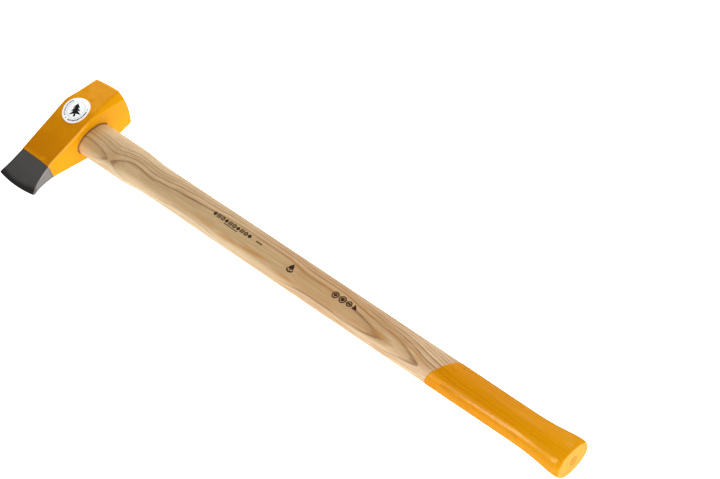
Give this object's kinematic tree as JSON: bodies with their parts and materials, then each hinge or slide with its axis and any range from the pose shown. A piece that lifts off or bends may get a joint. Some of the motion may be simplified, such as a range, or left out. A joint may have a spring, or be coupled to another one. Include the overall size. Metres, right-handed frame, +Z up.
{
  "type": "splitting maul",
  "caption": "Long-handled splitting maul: wedge head with flared blunt bit, painted cheeks and flat poll on a straight ash haft with painted grip and flared knob.",
  "frame": {"origin": "middle of the footprint of the tool lying on a flat surface, on that surface", "axes": "+X along the haft towards the butt (0.72 degrees nose down, as it lies), +Y towards the poll, +Z up out of the badge side; the cutting edge is at -Y"},
  "size_m": [0.9034, 0.188, 0.0776],
  "materials": {
    "head_paint": "amber gloss powder coat over forged steel; the splitting bit is ground bright and lacquered dark grey",
    "ash_wood": "smooth oiled ash with open straight grain; the grip end is dipped in amber semi-gloss paint",
    "wedge_wood": "raw sawn hardwood",
    "ring_steel": "turned, slightly dulled",
    "badge_foil": "gloss laminated foil with grey print"
  },
  "bodies": {
    "root": {"head": "head_paint", "handle": "ash_wood", "wood_wedge": "wedge_wood", "ring_wedge": "ring_steel", "label": "badge_foil"}
  },
  "joints": []
}
